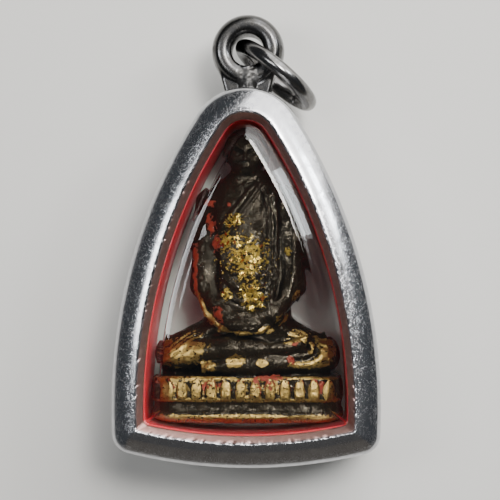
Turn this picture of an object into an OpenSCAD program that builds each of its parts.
// A small cast bronze figure of a seated monk in a stainless steel case with clear windows,
// worn on a ring through the eye at its top. It is modelled lying on its back:
// +X is to its right, +Y towards the eye, +Z up, and the origin is on the surface that it
// lies on, under the middle of its outline. Lengths are in millimetres.

/* [Case outline] */
// Width of the case at its widest place
case_w = 24.3; // [22:0.1:30]
// Length of the case from its bowed bottom to its rounded top
case_l = 34.3; // [33:0.1:40]
// Height of the widest place above the bottom
widest_y = 5.4; // [4.5:0.1:8]
// Outer radius of the rounded top
apex_r = 5.2; // [5:0.1:6.5]
// Outer radius of the bowed bottom
bottom_r = 45; // [38:1:80]
// Outer radius of the two lower corners
corner_r = 1.8; // [1:0.1:2.2]

/* [Case section] */
// Thickness of the case from back to front
case_t = 13; // [12:0.1:16]
// Thickness of the steel side wall
wall_t = 1.6; // [1.2:0.1:1.7]
// Width of the domed bezel, seen from the front
bezel_w = 2.35; // [2.1:0.05:2.6]
// Radius of the bezel's domed section
crown_r = 3.8; // [3.6:0.1:6]
// Radius of the shoulder between that dome and the side wall
shoulder_r = 1.1; // [0.8:0.05:1.4]
// Angle that the shoulder turns through, from the side wall to the dome
shoulder_turn = 48; // [40:1:56]
// Width of the flat crest along the bezel's inner edge
crest_w = 0.15; // [0.1:0.05:0.3]
// Width of the lip that slopes down inside the bezel
lip_w = 0.6; // [0.4:0.05:0.8]
// Fall of that sloping lip
lip_drop = 0.7; // [0.4:0.05:0.9]
// Thickness of the steel over the edge of the front window
front_lip_t = 1.2; // [1:0.1:1.6]
// Thickness of the steel behind the edge of the back window
back_lip_t = 0.8; // [0.5:0.1:1.2]
// Width of the bevel round the back
back_bevel = 0.9; // [0.3:0.1:1.2]
// Height of the back ring's outer wall
back_h = 2.6; // [1.6:0.1:3.5]
// Height of the tongue on the back ring
tongue_h = 1; // [0.5:0.1:1.5]
// Thickness of that tongue
tongue_t = 0.7; // [0.4:0.05:0.9]

/* [Windows and lining] */
// Thickness of each window at its edge
window_t = 1.1; // [0.8:0.1:1.3]
// Width of the bevel on the front window
window_bevel_w = 1.5; // [1:0.1:1.8]
// Rise of the front window's middle above its edge
window_rise = 0.7; // [0.3:0.1:1]
// Width of the lining that shows past the lip
lining_reveal = 0.1; // [0:0.05:0.3]

/* [Hanging eye] */
// Outer radius of the eye
eye_r = 3.35; // [2.9:0.05:3.6]
// Diameter of its bore
bore_d = 3; // [2.7:0.05:3.1]
// Depth of the eye from back to front
eye_t = 4; // [3:0.1:4.4]
// Fall of the eye's front and back from their crown to its axis
eye_fall = 0.6; // [0.3:0.1:0.8]
// Height of the bore above the top of the case
eye_rise = 3.74; // [3:0.02:4.2]
// Width of the neck where it meets the case
neck_w = 3.8; // [3:0.1:4.6]
// Thickness of the neck
neck_t = 3; // [2:0.1:3.6]
// Angle above the eye's middle at which the neck's flanks leave it
neck_from = 6; // [0:1:15]
// Diameter of the solder post on the neck's front
post_d = 1.7; // [1.2:0.1:2.2]
// Height that the post stands in front of the neck
post_proud = 0.55; // [0.3:0.05:0.7]

/* [Jump ring] */
// Outer diameter of the ring
ring_d = 9.4; // [9:0.1:11]
// Diameter of its wire
wire_d = 1.45; // [1:0.05:1.5]
// Width of the cut in the wire
ring_cut = 0.15; // [0.05:0.05:0.4]
// Place of that cut round the ring
ring_cut_at = -38; // [-60:1:-20]
// Direction in which the ring leads away from the eye
ring_turn = -39.8; // [-40:0.1:0]
// Lean of the ring from upright
ring_lean = 6.5; // [0:0.5:7]

/* [Figure] */
// Room at each side between the pedestal and the lining, where the case is widest
side_room = 0.4; // [0.3:0.05:1.5]
// Room between the ends of the pedestal's foot and the lining below them
foot_room = 0.12; // [0.1:0.02:0.4]
// Room between the top of the head and the lining
head_room = 0.37; // [0.36:0.01:2]
// Room between the pedestal and each window
face_room = 0.25; // [0.15:0.05:1]
// Number of lotus petals round the pedestal
petal_count = 34; // [16:2:44]
// Height that the petals stand proud
petal_rise = 0.22; // [0.1:0.02:0.3]

/* [Fits] */
// Clearance round a piece that sits inside the steel
side_gap = 0.1; // [0.05:0.05:0.15]
// Gap between faces that meet from back to front
face_gap = 0.05; // [0.02:0.01:0.1]

/* [Hidden] */
$fn = 160;

// The case outline is made of arcs: two long sides, a bowed bottom, a round top, two corners
side_run = case_l - apex_r - widest_y;
side_r = (case_w * case_w / 4 + side_run * side_run - apex_r * apex_r) / (case_w - 2 * apex_r);
side_c = [side_r - case_w / 2, widest_y];
apex_c = [0, case_l - apex_r];
bottom_c = [0, bottom_r];
corner_c = lower_crossing([-side_c.x, side_c.y], side_r - corner_r, bottom_c, bottom_r - corner_r);
apex_spread = 90 - atan2(apex_c.y - side_c.y, side_c.x);
corner_from = atan2(corner_c.y - bottom_c.y, corner_c.x);
corner_to = atan2(corner_c.y - side_c.y, corner_c.x + side_c.x);

// Insets from the outline, and heights above the surface, that several pieces share
opening = bezel_w + lip_w;
front_seat_z = case_t - front_lip_t;
front_glass_z = front_seat_z - face_gap - window_t;
back_glass_z = back_lip_t + face_gap;
inside_z = back_glass_z + window_t;
overall_l = case_l + eye_rise + eye_r;
outside = 2;

// Centres of the dome and of the shoulder in the bezel's section, and where the dome ends
dome_x = shoulder_r + (crown_r - shoulder_r) * cos(shoulder_turn);
crest_turn = acos((dome_x - bezel_w + crest_w) / crown_r);
dome_z = case_t - crown_r * sin(crest_turn);
shoulder_z = dome_z + (crown_r - shoulder_r) * sin(shoulder_turn);

// The figure takes its size from the room inside the lining and between the windows
lining_inset = opening + lining_reveal;
figure_w = case_w - 2 * (lining_inset + side_room);
figure_d = front_glass_z - inside_z - 2 * face_room;
floor_r = bottom_r - lining_inset;
figure_y = bottom_c.y - sqrt(floor_r * floor_r - figure_w * figure_w / 4) + foot_room;
figure_h = case_l - lining_inset - head_room - figure_y;
half_w = figure_w / 2;
half_d = figure_d / 2;

// The small arcs' bodies are larger by this factor, and the wedges between them are narrower by
// this angle, so that surfaces cross and never just touch
swell = 1.002;
wedge_margin = 2;

// The eye is at mid-thickness. Its front falls from the crown towards the bore's rim
eye_c = [0, case_l + eye_rise, case_t / 2];
bore_r = bore_d / 2;
crown_mid = (bore_r + eye_r) / 2;
eye_middle_z = eye_t / 2 - eye_fall;
rim_z = eye_middle_z + (eye_t / 2 - eye_middle_z) * bore_r / crown_mid;

// The ring's wire lies against the bore, and its front hangs on the eye, at the rim or the crown
ring_r = (ring_d - wire_d) / 2;
ring_in = ring_r - wire_d / 2;
ring_reach = ring_r - (bore_r - wire_d / 2 - side_gap);
sag_at_rim = sqrt(ring_in * ring_in - pow(ring_reach - bore_r, 2)) - rim_z;
sag_at_crown = sqrt(ring_in * ring_in - pow(ring_reach - crown_mid, 2)) - eye_t / 2;
ring_sag = min(sag_at_rim, sag_at_crown) - side_gap;
ring_cut_angle = ring_cut / ring_r * 180 / PI;

// Colours, as they show
STEEL = [0.74, 0.75, 0.76];
RED = [0.78, 0.12, 0.13];
CLEAR = [0.85, 0.9, 0.92, 0.3];
BRONZE = [0.36, 0.29, 0.18];

// Crossing of two circles that lies lower and further right
function lower_crossing(c1, r1, c2, r2) =
    let (gap = norm(c2 - c1))
    let (along = (r1 * r1 - r2 * r2 + gap * gap) / (2 * gap))
    let (across = sqrt(r1 * r1 - along * along))
    let (dir = (c2 - c1) / gap)
    c1 + along * dir + across * [dir.y, -dir.x];

function polar(radius, angle) = radius * [cos(angle), sin(angle)];

// Part of a full oval's radius at which its edge lies, from the cosine or sine of an angle
FULLNESS = 0.85;
function full(part) = sign(part) * pow(abs(part), FULLNESS);

// Half of an arch-shaped body's section, from its axis out to an arc of the outline.
// A profile lists [inset from the outline, height] from the back to the front.
module half_section(radius, profile, grow) {
    back = profile[0];
    front = profile[len(profile) - 1];
    sides = [for (p = profile) [(radius - p[0]) * grow, p[1]]];
    past_axis = min([for (p = sides) p.x]) - radius;
    intersection() {
        polygon(concat([[past_axis, back[1]]], sides, [[past_axis, front[1]]]));
        translate([0, back[1]])
            square([radius * grow, front[1] - back[1]]);
    }
}

// Body of revolution about the centre of one arc
module arc_body(centre, radius, profile, grow = 1) {
    translate([centre.x, centre.y, 0])
        rotate_extrude()
            half_section(radius, profile, grow);
}

// Upright wedge with its tip at a point, a little narrower than the way between two directions.
// It runs past the back or the front of its profile as told.
module wedge(tip, from, to, profile, back_over = outside, front_over = outside) {
    first = from + wedge_margin;
    last = to - wedge_margin;
    back_z = profile[0][1] - back_over;
    front_z = profile[len(profile) - 1][1] + front_over;
    reach = 2 * case_l;
    translate([0, 0, back_z])
        linear_extrude(front_z - back_z)
            polygon([tip, tip + polar(reach, first), tip + polar(reach, (first + last) / 2),
                tip + polar(reach, last)]);
}

// Solid body whose outline at each height is the case outline, inset as the profile says. Its
// lower corners are rounded where the inset is less than their radius, which is one run of rows.
module arch(profile) {
    rounded = [for (p = profile) if (p[0] < corner_r) p];
    back_over = rounded[0] == profile[0] ? outside : 0;
    front_over = rounded[len(rounded) - 1] == profile[len(profile) - 1] ? outside : 0;
    difference() {
        intersection() {
            arc_body([-side_c.x, side_c.y], side_r, profile);
            arc_body(side_c, side_r, profile);
            arc_body(bottom_c, bottom_r, profile);
        }
        wedge(apex_c, 90 - apex_spread, 90 + apex_spread, profile);
        if (len(rounded) > 0) {
            wedge(corner_c, corner_from, corner_to, rounded, back_over, front_over);
            mirror([1, 0, 0])
                wedge(corner_c, corner_from, corner_to, rounded, back_over, front_over);
        }
    }
    arc_body(apex_c, apex_r, profile, swell);
    if (len(rounded) > 0) {
        arc_body(corner_c, corner_r, rounded, swell);
        mirror([1, 0, 0])
            arc_body(corner_c, corner_r, rounded, swell);
    }
}

// Places a piece, modelled from the bottom of the case, about the origin
module placed() {
    translate([0, -overall_l / 2, 0])
        children();
}

// Outside of the eye: a full, rounded section that falls a little towards the bore
module eye_disc() {
    steps = 10;
    outer = [for (i = [-steps:steps])
        let (a = 90 * i / steps)
        [crown_mid + (eye_r - crown_mid) * full(cos(a)), eye_t / 2 * sin(a)]];
    rotate_extrude()
        polygon(concat([[0, -eye_middle_z]], outer, [[0, eye_middle_z]]));
}

// Eye, neck and solder post in one, with the bore through them
module bail() {
    sink = 0.1;
    shoulder = polar(eye_r - sink, neck_from);
    foot_y = -eye_rise - wall_t / 2;
    post_z = (neck_t - post_d) / 2 + post_proud;
    translate(eye_c)
        difference() {
            union() {
                eye_disc();
                translate([0, 0, -neck_t / 2])
                    linear_extrude(neck_t)
                        polygon([shoulder, [neck_w / 2, foot_y], [-neck_w / 2, foot_y],
                            [-shoulder.x, shoulder.y]]);
                translate([0, foot_y, post_z])
                    rotate([-90, 0, 0])
                        cylinder(h = -foot_y - bore_r / 2, d = post_d);
            }
            cylinder(h = eye_t + outside, r = bore_r, center = true);
        }
}

// Front of the case: side wall, domed bezel, sloping lip, and the bail soldered on
module case_frame() {
    shoulder_steps = 4;
    dome_steps = 6;
    split_z = back_h + face_gap;
    outer = concat([[0, split_z]],
        [for (i = [0:shoulder_steps])
            let (a = shoulder_turn * i / shoulder_steps)
            [shoulder_r * (1 - cos(a)), shoulder_z + shoulder_r * sin(a)]],
        [for (i = [1:dome_steps])
            let (a = shoulder_turn + (crest_turn - shoulder_turn) * i / dome_steps)
            [dome_x - crown_r * cos(a), dome_z + crown_r * sin(a)]],
        [[bezel_w + lip_w / 2, case_t]]);
    rebate = wall_t - tongue_t - side_gap;
    rebate_z = back_h + tongue_h + face_gap;
    run_out = 0.5;
    cavity = [[rebate, split_z - outside], [rebate, rebate_z], [wall_t, rebate_z],
        [wall_t, front_seat_z], [opening, front_seat_z], [opening, case_t - lip_drop],
        [bezel_w - run_out * lip_w / lip_drop, case_t + run_out]];
    color(STEEL)
        placed()
            union() {
                difference() {
                    arch(outer);
                    arch(cavity);
                }
                bail();
            }
}

// Back ring: bevelled round the back, with a tongue that fits inside the front's wall
module case_back() {
    tongue = wall_t - tongue_t;
    top_z = back_h + tongue_h;
    outer = [[back_bevel, 0], [0, back_bevel], [0, back_h], [tongue, back_h], [tongue, top_z]];
    cavity = [[opening, -outside], [opening, back_lip_t], [wall_t, back_lip_t],
        [wall_t, top_z + outside]];
    color(STEEL)
        placed()
            difference() {
                arch(outer);
                arch(cavity);
            }
}

// Clear front, moulded to one thickness: a flat edge, a sloping border and a raised flat middle
module front_window() {
    edge = wall_t + side_gap;
    bevel = opening + side_gap;
    top_z = front_glass_z + window_t;
    slope = window_rise / window_bevel_w;
    hollow = bevel + window_t * tan(atan(slope) / 2);
    run_out = 0.1;
    color(CLEAR)
        placed()
            difference() {
                arch([[edge, front_glass_z], [edge, top_z], [bevel, top_z],
                    [bevel + window_bevel_w, top_z + window_rise]]);
                arch([[hollow - run_out / slope, front_glass_z - run_out],
                    [hollow + window_bevel_w, front_glass_z + window_rise]]);
            }
}

// Clear flat back
module back_window() {
    edge = wall_t + side_gap;
    color(CLEAR)
        placed()
            arch([[edge, back_glass_z], [edge, inside_z]]);
}

// Red strip that lines the case between the windows
module red_lining() {
    edge = wall_t + side_gap;
    from_z = inside_z + face_gap;
    to_z = front_glass_z - face_gap;
    color(RED)
        placed()
            difference() {
                arch([[edge, from_z], [edge, to_z]]);
                arch([[lining_inset, from_z - outside], [lining_inset, to_z + outside]]);
            }
}

// Tables of the figure. Places are shares of the pedestal's half width, the figure's height
// and the pedestal's half depth, and radii are shares of the pedestal's half width.

// Pedestal: [up, half width, half depth]
PEDESTAL = [
    [0.000, 0.930, 0.880], [0.005, 0.970, 0.950], [0.016, 1.000, 1.000], [0.030, 1.000, 1.000],
    [0.038, 0.972, 0.940], [0.062, 0.966, 0.930], [0.071, 0.985, 0.975], [0.146, 0.975, 0.960],
    [0.153, 0.920, 0.900]];
// Corner radius of the pedestal, as a share of the smaller half size of a level
PEDESTAL_ROUND = 0.62;
// Row of the pedestal at whose width the petals stand, and the heights of their foot and tip
PETAL_ROW = 7;
PETAL_FOOT = 0.073;
PETAL_TIP = 0.146;
// Width of a petal, as a share of the way from one to the next
PETAL_FILL = 0.92;
// Outline of a petal at the wall and at its front: [across, up], as shares of its size
PETAL_EDGE = [[-0.42, 0], [0.42, 0], [0.5, 0.5], [0, 1], [-0.5, 0.5]];
PETAL_FRONT = [[-0.23, 0.22], [0.23, 0.22], [0.275, 0.48], [0, 0.74], [-0.275, 0.48]];
// Body under the robe: [up, half width, half depth, forward]
BODY = [
    [0.145, 0.500, 0.700, -0.07], [0.317, 0.483, 0.710, -0.05], [0.448, 0.448, 0.660, 0.00],
    [0.597, 0.448, 0.630, 0.00], [0.720, 0.468, 0.575, -0.02], [0.784, 0.414, 0.490, -0.05],
    [0.828, 0.276, 0.390, -0.05], [0.858, 0.184, 0.350, -0.02]];
// Limbs: [across, up, forward, radius]
RIGHT_ARM = [
    [-0.060, 0.815, -0.08, 0.150], [-0.385, 0.737, -0.06, 0.155], [-0.470, 0.620, 0.00, 0.142],
    [-0.466, 0.463, 0.12, 0.155], [-0.230, 0.366, 0.54, 0.115], [-0.060, 0.336, 0.68, 0.098]];
LEFT_ARM = [
    [0.000, 0.815, -0.08, 0.150], [0.330, 0.752, -0.06, 0.160], [0.460, 0.628, 0.00, 0.145],
    [0.477, 0.463, 0.12, 0.155], [0.253, 0.362, 0.56, 0.115], [0.020, 0.340, 0.66, 0.092]];
RIGHT_THIGH = [[-0.300, 0.270, -0.20, 0.265], [-0.755, 0.220, 0.10, 0.216]];
LEFT_THIGH = [[0.300, 0.270, -0.20, 0.265], [0.755, 0.220, 0.10, 0.216]];
RIGHT_SHIN = [[-0.740, 0.215, 0.36, 0.165], [-0.180, 0.245, 0.68, 0.128], [0.150, 0.240, 0.74, 0.100]];
LEFT_SHIN = [[0.740, 0.205, 0.32, 0.165], [0.180, 0.190, 0.64, 0.130], [-0.200, 0.185, 0.70, 0.105]];
NECK = [[-0.010, 0.835, -0.02, 0.165], [-0.018, 0.890, 0.03, 0.150]];
// Folds and edges of the robe: [across, up, forward, radius]
SASH = [
    [0.170, 0.815, 0.14, 0.085], [0.235, 0.760, 0.36, 0.090], [0.250, 0.640, 0.49, 0.092],
    [0.235, 0.485, 0.56, 0.092], [0.190, 0.375, 0.62, 0.080]];
ROBE_EDGE = [
    [0.130, 0.828, 0.28, 0.036], [-0.060, 0.755, 0.52, 0.036], [-0.280, 0.665, 0.50, 0.036],
    [-0.350, 0.600, 0.42, 0.036]];
SLEEVE_EDGE = [
    [-0.540, 0.448, 0.22, 0.036], [-0.430, 0.358, 0.46, 0.036], [-0.255, 0.312, 0.68, 0.038],
    [-0.070, 0.298, 0.78, 0.040], [0.150, 0.304, 0.76, 0.038], [0.335, 0.352, 0.56, 0.036],
    [0.475, 0.420, 0.30, 0.036]];
NOSE = [[-0.018, 0.922, 0.475, 0.022], [-0.018, 0.896, 0.545, 0.030]];
// Rounded forms: [across, up, forward, half width, half height, half depth], as shares of the
// pedestal's half width, the figure's height and the pedestal's half depth
SKULL = [-0.018, 0.931, -0.01, 0.226, 0.069, 0.520];
JAW = [-0.018, 0.884, 0.12, 0.160, 0.049, 0.340];
HANDS = [-0.040, 0.326, 0.74, 0.230, 0.020, 0.200];
FACE = [
    [-0.242, 0.900, -0.02, 0.028, 0.028, 0.110], [0.206, 0.900, -0.02, 0.028, 0.028, 0.110],
    [-0.100, 0.917, 0.420, 0.052, 0.008, 0.060], [0.064, 0.917, 0.420, 0.052, 0.008, 0.060],
    [-0.018, 0.868, 0.440, 0.062, 0.006, 0.050]];

// Closed solid through rings of equally many points
module loft(rings) {
    count = len(rings[0]);
    last = len(rings) - 1;
    points = [for (ring = rings) each ring];
    sides = [for (k = [0:last - 1], i = [0:count - 1])
        let (j = (i + 1) % count)
        [k * count + i, (k + 1) * count + i, (k + 1) * count + j, k * count + j]];
    bottom = [for (i = [0:count - 1]) i];
    top = [for (i = [count - 1:-1:0]) last * count + i];
    polyhedron(points, concat(sides, [bottom, top]));
}

// Level ring of a rounded oblong, as points [across, up, forward]
function oblong(w, d, up) =
    let (steps = 5)
    let (r = min(w, d) * PEDESTAL_ROUND)
    [for (quarter = [0:3], i = [0:steps])
        let (a = 90 * quarter + 90 * i / steps)
        let (side = [quarter == 0 || quarter == 3 ? 1 : -1, quarter < 2 ? 1 : -1])
        [side.x * (w - r) + r * cos(a), up, -side.y * (d - r) - r * sin(a)]];

// Level ring of a full oval
function oval(w, d, up, forward) =
    let (steps = 24)
    [for (i = [0:steps - 1])
        let (a = 360 * i / steps)
        [w * full(cos(a)), up, forward - d * full(sin(a))]];

// Chain of rounded links along a table of places and radii
module chain(table, facets) {
    for (i = [0:len(table) - 2])
        hull() {
            for (row = [table[i], table[i + 1]])
                translate([row[0] * half_w, row[1] * figure_h, row[2] * half_d])
                    sphere(r = row[3] * half_w, $fn = facets);
        }
}

// Rounded form from a row of a table
module bulge(row, facets = 12) {
    translate([row[0] * half_w, row[1] * figure_h, row[2] * half_d])
        scale([row[3] * half_w, row[4] * figure_h, row[5] * half_d])
            sphere(r = 1, $fn = facets);
}

// One pointed petal, upright, that stands proud of a wall facing forward and is sunk in it
module petal(w, h) {
    edge = [for (p = PETAL_EDGE) [p.x * w, p.y * h]];
    swell = [for (p = PETAL_FRONT) [p.x * w, p.y * h]];
    loft([[for (p = edge) [p.x, p.y, -petal_rise]], [for (p = edge) [p.x, p.y, 0]],
        [for (p = swell) [p.x, p.y, petal_rise]]]);
}

// Place and turn at a run along the front and one end of a rounded oblong: [across, forward,
// turn]. The run starts at the left of the straight front.
function on_oblong(w, d, r, run) =
    let (front = 2 * (w - r), bend = r * PI / 2, end = 2 * (d - r))
    let (first = (run - front) / r * 180 / PI)
    let (second = 90 + (run - front - bend - end) / r * 180 / PI)
    run < front ? [run - front / 2, d, 0]
        : run < front + bend ? [w - r + r * sin(first), d - r + r * cos(first), first]
        : run < front + bend + end ? [w, d - r - (run - front - bend), 90]
        : [w - r + r * sin(second), r - d + r * cos(second), second];

// Row of petals along the pedestal's rounded oblong, its back half turned from its front half
module petal_row() {
    w = PEDESTAL[PETAL_ROW][1] * half_w;
    d = PEDESTAL[PETAL_ROW][2] * half_d;
    r = PEDESTAL_ROUND * d;
    half_run = 2 * (w - r) + 2 * (d - r) + PI * r;
    pitch = 2 * half_run / petal_count;
    for (turn = [0, 180], run = [pitch / 2:pitch:half_run])
        rotate([0, turn, 0]) {
            place = on_oblong(w, d, r, run);
            translate([place[0], PETAL_FOOT * figure_h, place[1]])
                rotate([0, place[2], 0])
                    petal(PETAL_FILL * pitch, (PETAL_TIP - PETAL_FOOT) * figure_h);
        }
}

// Cast seated monk on a two-tier pedestal. Across is X, up the figure is Y, forward is Z
module figure() {
    color(BRONZE)
        placed()
            translate([0, figure_y, (inside_z + front_glass_z) / 2])
                union() {
                    loft([for (row = PEDESTAL)
                        oblong(row[1] * half_w, row[2] * half_d, row[0] * figure_h)]);
                    petal_row();
                    loft([for (row = BODY)
                        oval(row[1] * half_w, row[2] * half_d, row[0] * figure_h, row[3] * half_d)]);
                    for (limb = [RIGHT_ARM, LEFT_ARM, RIGHT_THIGH, LEFT_THIGH, RIGHT_SHIN,
                        LEFT_SHIN, NECK])
                        chain(limb, 18);
                    for (fold = [SASH, ROBE_EDGE, SLEEVE_EDGE, NOSE])
                        chain(fold, 12);
                    hull() {
                        bulge(SKULL, 28);
                        bulge(JAW, 20);
                    }
                    bulge(HANDS);
                    for (row = FACE)
                        bulge(row);
                }
}

// Wire ring, cut once, hung through the eye
module jump_ring() {
    color(STEEL)
        placed()
            translate(eye_c)
                rotate([0, 0, ring_turn])
                    translate([ring_reach, 0, -ring_sag])
                        rotate([90 - ring_lean, 0, 0])
                            rotate_extrude(angle = 360 - ring_cut_angle, start = ring_cut_at)
                                translate([ring_r, 0])
                                    circle(d = wire_d);
}

case_frame();
case_back();
front_window();
back_window();
red_lining();
figure();
jump_ring();
